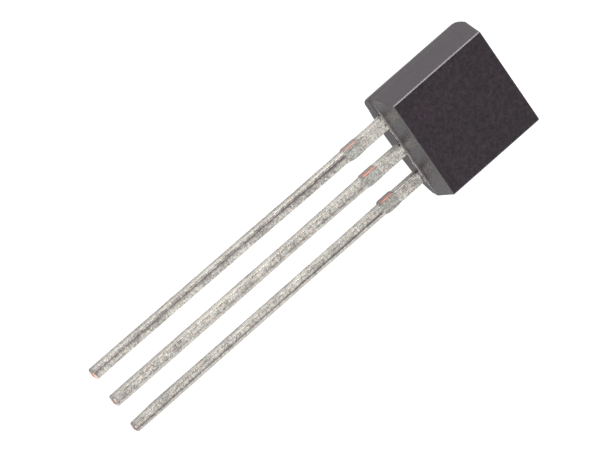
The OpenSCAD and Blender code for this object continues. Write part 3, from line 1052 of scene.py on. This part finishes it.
def grained_finish(name, colour, size, metallic, roughness):
    """A metal with a fine uneven grain."""
    finish = Finish(name, Metallic=metallic)
    grain = finish.noise(size, 3, 0.6)
    finish.feed("Base Color", finish.shade(colour, 0.8 + 0.4 * grain))
    finish.feed("Roughness", roughness + 0.2 * (grain - 0.5))
    return finish


class OBJECT_OT_transistor_inside(bpy.types.Operator):
    """Give the chip, its bond layer and its wires their finishes"""

    bl_idname = "object.transistor_inside"
    bl_label = "Chip and Wires"

    def execute(self, context):
        inside = context.scene.transistor_inside
        gold = grained_finish("bond_wire_gold", inside.gold, 0.02, 1.0, 0.25)
        silver = grained_finish("bond_layer_silver", inside.silver, 0.01, 0.8, 0.5)
        chip = silicon_finish(inside)
        pairs = ("die", chip), ("die_attach", silver), ("left_wire", gold), ("right_wire", gold)
        for node, finish in pairs:
            materials = frame["nodes"][node].data.materials
            materials.clear()
            materials.append(finish.material)
        return {"FINISHED"}


# Stage


class OBJECT_OT_transistor_stage(bpy.types.Operator):
    """Set up the pale floor, the soft light and the camera"""

    bl_idname = "object.transistor_stage"
    bl_label = "Stage"

    def execute(self, context):
        stage = context.scene.transistor_stage
        self.add_floor(stage)
        self.add_light(context, stage)
        self.add_camera(context, stage)
        context.scene.view_settings.view_transform = "Standard"
        return {"FINISHED"}

    def add_floor(self, stage):
        """A flat disc: rings of points whose radius grows in steps of equal ratio."""
        radius = np.append(0, np.geomspace(0.005, stage.floor_radius, 24))
        turn = np.linspace(0, 2 * math.pi, 97)
        ring = np.stack([np.cos(turn), np.sin(turn), 0 * turn], -1)
        points = (radius[:, None, None] * ring).reshape(-1, 3)
        floor = placed("floor", points, quads(len(radius), len(turn))[:, ::-1])
        finish = Finish("pale_floor", Roughness=0.9, Emission_Strength=stage.floor_glow)
        finish.shader.inputs["Emission Color"].default_value = (1, 1, 1, 1)
        finish.feed("Base Color", finish.shade(stage.floor_colour, 0.99 + 0.02 * finish.noise(2.0)))
        floor.data.materials.append(finish.material)

    def add_light(self, context, stage):
        """A white tent, dimmer low down and overhead, and soft boxes beyond the left side and the leads."""
        world = bpy.data.worlds.new("tent")
        world.use_nodes = True
        background = world.node_tree.nodes["Background"]
        background.inputs["Color"].default_value = (1.0, 1.0, 1.0, 1.0)
        tent = Wiring(world.node_tree)
        height = tent.axes(tent.node("ShaderNodeTexCoord", output="Generated"))[2]
        glow = 0.5 + 0.5 * tent.step(height, 0.0, 0.5) - 0.6 * tent.step(height, 0.72, 0.92)
        tent.tree.links.new((stage.sky * glow).socket, background.inputs["Strength"])
        context.scene.world = world
        for name, way, power, size in (
            ("key_softbox", (0.20, 0.863, 0.42), stage.key, (0.14, 0.095)),
            ("lead_end_softbox", (-0.55, -0.39, 0.74), stage.fill, (0.18, 0.13)),
        ):
            light = bpy.data.lights.new(name, "AREA")
            light.shape = "RECTANGLE"
            light.size, light.size_y = size
            light.energy = power
            box = bpy.data.objects.new(name, light)
            way = Vector(way).normalized()
            box.location = Vector(stage.aim) + way * stage.light_distance
            box.rotation_mode = "QUATERNION"
            box.rotation_quaternion = way.to_track_quat("Z", "Y")
            context.scene.collection.objects.link(box)

    def add_camera(self, context, stage):
        """A long lens at the given direction, with its roll about its own axis."""
        a, e = stage.azimuth, stage.elevation
        back = Vector((math.sin(a) * math.cos(e), -math.cos(a) * math.cos(e), math.sin(e)))
        data = bpy.data.cameras.new("camera")
        data.lens, data.sensor_width, data.sensor_fit = stage.lens, 36, "HORIZONTAL"
        data.clip_start, data.clip_end = 0.01, 10
        camera = bpy.data.objects.new("camera", data)
        level = Vector((0, 0, 1)).cross(back).normalized()
        upward = back.cross(level)
        right = level * math.cos(stage.roll) + upward * math.sin(stage.roll)
        turn = Matrix((right, back.cross(right), back)).transposed()
        place = Matrix.Translation(Vector(stage.aim) + back * stage.camera_distance)
        camera.matrix_world = place @ turn.to_4x4()
        context.scene.collection.objects.link(camera)
        context.scene.camera = camera


class VIEW3D_PT_transistor(bpy.types.Panel):
    """Sidebar panel with one button for each group of pieces"""

    bl_idname = "VIEW3D_PT_transistor"
    bl_label = "TO-92 Transistor"
    bl_space_type = "VIEW_3D"
    bl_region_type = "UI"
    bl_category = "Transistor"

    def draw(self, context):
        for operator, settings in PARTS:
            box = self.layout.box()
            box.operator(operator.bl_idname)
            group = getattr(context.scene, settings)
            for name in group.__annotations__:
                box.prop(group, name)


PARTS = (
    (OBJECT_OT_transistor_body, "transistor_body"),
    (OBJECT_OT_transistor_leads, "transistor_leads"),
    (OBJECT_OT_transistor_inside, "transistor_inside"),
    (OBJECT_OT_transistor_stage, "transistor_stage"),
)
SETTINGS = (TransistorBody, TransistorLeads, TransistorInside, TransistorStage)


def register():
    for group, (operator, settings) in zip(SETTINGS, PARTS):
        bpy.utils.register_class(group)
        setattr(bpy.types.Scene, settings, PointerProperty(type=group))
        bpy.utils.register_class(operator)
    bpy.utils.register_class(VIEW3D_PT_transistor)


def unregister():
    bpy.utils.unregister_class(VIEW3D_PT_transistor)
    for group, (operator, settings) in zip(SETTINGS, PARTS):
        bpy.utils.unregister_class(operator)
        delattr(bpy.types.Scene, settings)
        bpy.utils.unregister_class(group)


def main():
    """Builds the transistor and its stage."""
    register()
    bpy.ops.object.transistor_body()
    bpy.ops.object.transistor_leads()
    bpy.ops.object.transistor_inside()
    bpy.ops.object.transistor_stage()


if __name__ == "__main__":
    main()
